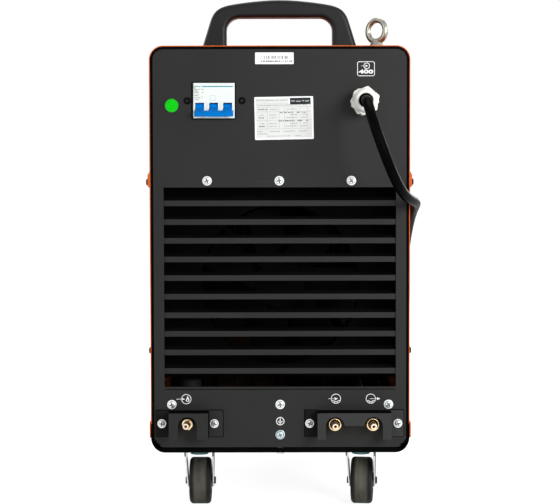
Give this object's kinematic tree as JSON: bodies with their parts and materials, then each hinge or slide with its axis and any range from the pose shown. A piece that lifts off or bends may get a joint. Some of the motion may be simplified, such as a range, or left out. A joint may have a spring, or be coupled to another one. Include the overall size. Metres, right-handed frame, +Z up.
{
  "type": "plasma cutter power unit",
  "caption": "Wheeled plasma cutter power unit with a louvred rear panel, breaker, supply cord, air and water hose connections, carry handle and lifting eyes.",
  "frame": {"origin": "on the floor, under the middle of the unit without its cord", "axes": "+Z up, -Y out of the rear panel, +Y out of the front panel, +X to the right seen from behind"},
  "size_m": [0.3639, 0.9114, 0.678],
  "materials": {
    "cover_paint": "satin orange powder coat",
    "panel_paint": "fine-textured dark grey powder coat",
    "pan_paint": "black powder coat",
    "zinc": "zinc plated",
    "black_screw": "black oxide",
    "handle_plastic": "moulded, slight sheen",
    "control_plastic": "moulded, fine texture",
    "red_plastic": "gloss",
    "white_plastic": "satin moulded",
    "blue_plastic": "satin moulded",
    "nylon": "natural nylon",
    "cord_rubber": "matt",
    "core_sleeve": "insulated cores",
    "hose_rubber": "matt",
    "brass": "turned",
    "label_film": "printed film",
    "plate_film": "printed silver film",
    "tyre_rubber": "worn grey-black",
    "hub_plastic": "moulded",
    "fan_plastic": "moulded",
    "aluminium": "extruded",
    "module_plastic": "moulded",
    "winding": "varnished winding",
    "board": "lacquered board",
    "valve_metal": "cast",
    "window": "tinted window"
  },
  "bodies": {
    "machine": {"base_pan": "pan_paint", "outer_cover": "cover_paint", "rear_panel": "panel_paint", "rear_louvre": "panel_paint", "front_panel": "panel_paint", "control_fascia": "control_plastic", "carry_handle": "handle_plastic", "lifting_eyes": "zinc", "panel_screws": "zinc", "earth_screw": "zinc", "cover_screws": "black_screw", "rating_plate": "plate_film", "labels": "label_film", "breaker_body": "white_plastic", "gland_body": "nylon", "gland_cap": "nylon", "gland_seal": "cord_rubber", "power_cord": "cord_rubber", "power_cord_coil": "cord_rubber", "cord_end": "core_sleeve", "cord_tie": "cord_rubber", "air_guard": "panel_paint", "water_guard": "panel_paint", "air_inlet": "brass", "water_inlet": "brass", "water_outlet": "brass", "caster_plates": "zinc", "fan_shroud": "fan_plastic", "inner_frame": "zinc", "heat_sink": "aluminium", "power_modules": "module_plastic", "main_transformer": "winding", "output_choke": "winding", "inverter_board": "board", "control_board": "board", "solenoid_valve": "valve_metal", "internal_hoses": "hose_rubber", "torch_connector": "brass", "work_socket": "control_plastic", "pilot_socket": "control_plastic", "torch_water_ports": "brass", "display_window": "window"},
    "breaker_toggle": {"breaker_toggle": "blue_plastic"},
    "fan_rotor": {"fan_rotor": "fan_plastic"},
    "current_knob": {"current_knob": "control_plastic"},
    "mode_switch": {"mode_switch": "red_plastic"},
    "gas_switch": {"gas_switch": "control_plastic"},
    "caster_rear_left": {"fork_rear_left": "zinc"},
    "wheel_rear_left": {"hub_rear_left": "hub_plastic", "tyre_rear_left": "tyre_rubber"},
    "caster_rear_right": {"fork_rear_right": "zinc"},
    "wheel_rear_right": {"hub_rear_right": "hub_plastic", "tyre_rear_right": "tyre_rubber"},
    "caster_front_left": {"fork_front_left": "zinc"},
    "wheel_front_left": {"hub_front_left": "hub_plastic", "tyre_front_left": "tyre_rubber"},
    "caster_front_right": {"fork_front_right": "zinc"},
    "wheel_front_right": {"hub_front_right": "hub_plastic", "tyre_front_right": "tyre_rubber"}
  },
  "joints": [
    {"name": "breaker_toggle_tilt", "type": "hinge", "parent": "machine", "child": "breaker_toggle", "pos_m": [-0.0848, -0.291, 0.5334], "axis": [-1, 0, 0], "range_deg": [0, 52]},
    {"name": "fan_spin", "type": "hinge", "parent": "machine", "child": "fan_rotor", "pos_m": [0, -0.213, 0.30175], "axis": [0, 1, 0], "continuous": true},
    {"name": "current_knob_turn", "type": "hinge", "parent": "machine", "child": "current_knob", "pos_m": [0.078, 0.305, 0.483], "axis": [0, 1, 0], "range_deg": [-135, 135]},
    {"name": "mode_switch_rock", "type": "hinge", "parent": "machine", "child": "mode_switch", "pos_m": [-0.088, 0.293, 0.461], "axis": [1, 0, 0], "range_deg": [0, 18]},
    {"name": "gas_switch_rock", "type": "hinge", "parent": "machine", "child": "gas_switch", "pos_m": [-0.024, 0.293, 0.461], "axis": [1, 0, 0], "range_deg": [0, 18]},
    {"name": "rear_left_swivel", "type": "hinge", "parent": "machine", "child": "caster_rear_left", "pos_m": [-0.1085, -0.225, 0.08], "axis": [0, 0, 1], "continuous": true},
    {"name": "rear_left_wheel_spin", "type": "hinge", "parent": "caster_rear_left", "child": "wheel_rear_left", "pos_m": [-0.1085, -0.197, 0.0315], "axis": [1, 0, 0], "continuous": true},
    {"name": "rear_right_swivel", "type": "hinge", "parent": "machine", "child": "caster_rear_right", "pos_m": [0.1085, -0.225, 0.08], "axis": [0, 0, 1], "continuous": true},
    {"name": "rear_right_wheel_spin", "type": "hinge", "parent": "caster_rear_right", "child": "wheel_rear_right", "pos_m": [0.11143, -0.19715, 0.0315], "axis": [0.9945, -0.1045, 0], "continuous": true},
    {"name": "front_left_swivel", "type": "hinge", "parent": "machine", "child": "caster_front_left", "pos_m": [-0.1085, 0.225, 0.08], "axis": [0, 0, 1], "continuous": true},
    {"name": "front_left_wheel_spin", "type": "hinge", "parent": "caster_front_left", "child": "wheel_front_left", "pos_m": [-0.1124, 0.25273, 0.0315], "axis": [0.9903, 0.1392, 0], "continuous": true},
    {"name": "front_right_swivel", "type": "hinge", "parent": "machine", "child": "caster_front_right", "pos_m": [0.1085, 0.225, 0.08], "axis": [0, 0, 1], "continuous": true},
    {"name": "front_right_wheel_spin", "type": "hinge", "parent": "caster_front_right", "child": "wheel_front_right", "pos_m": [0.11432, 0.25239, 0.0315], "axis": [0.9781, -0.2079, 0], "continuous": true}
  ]
}
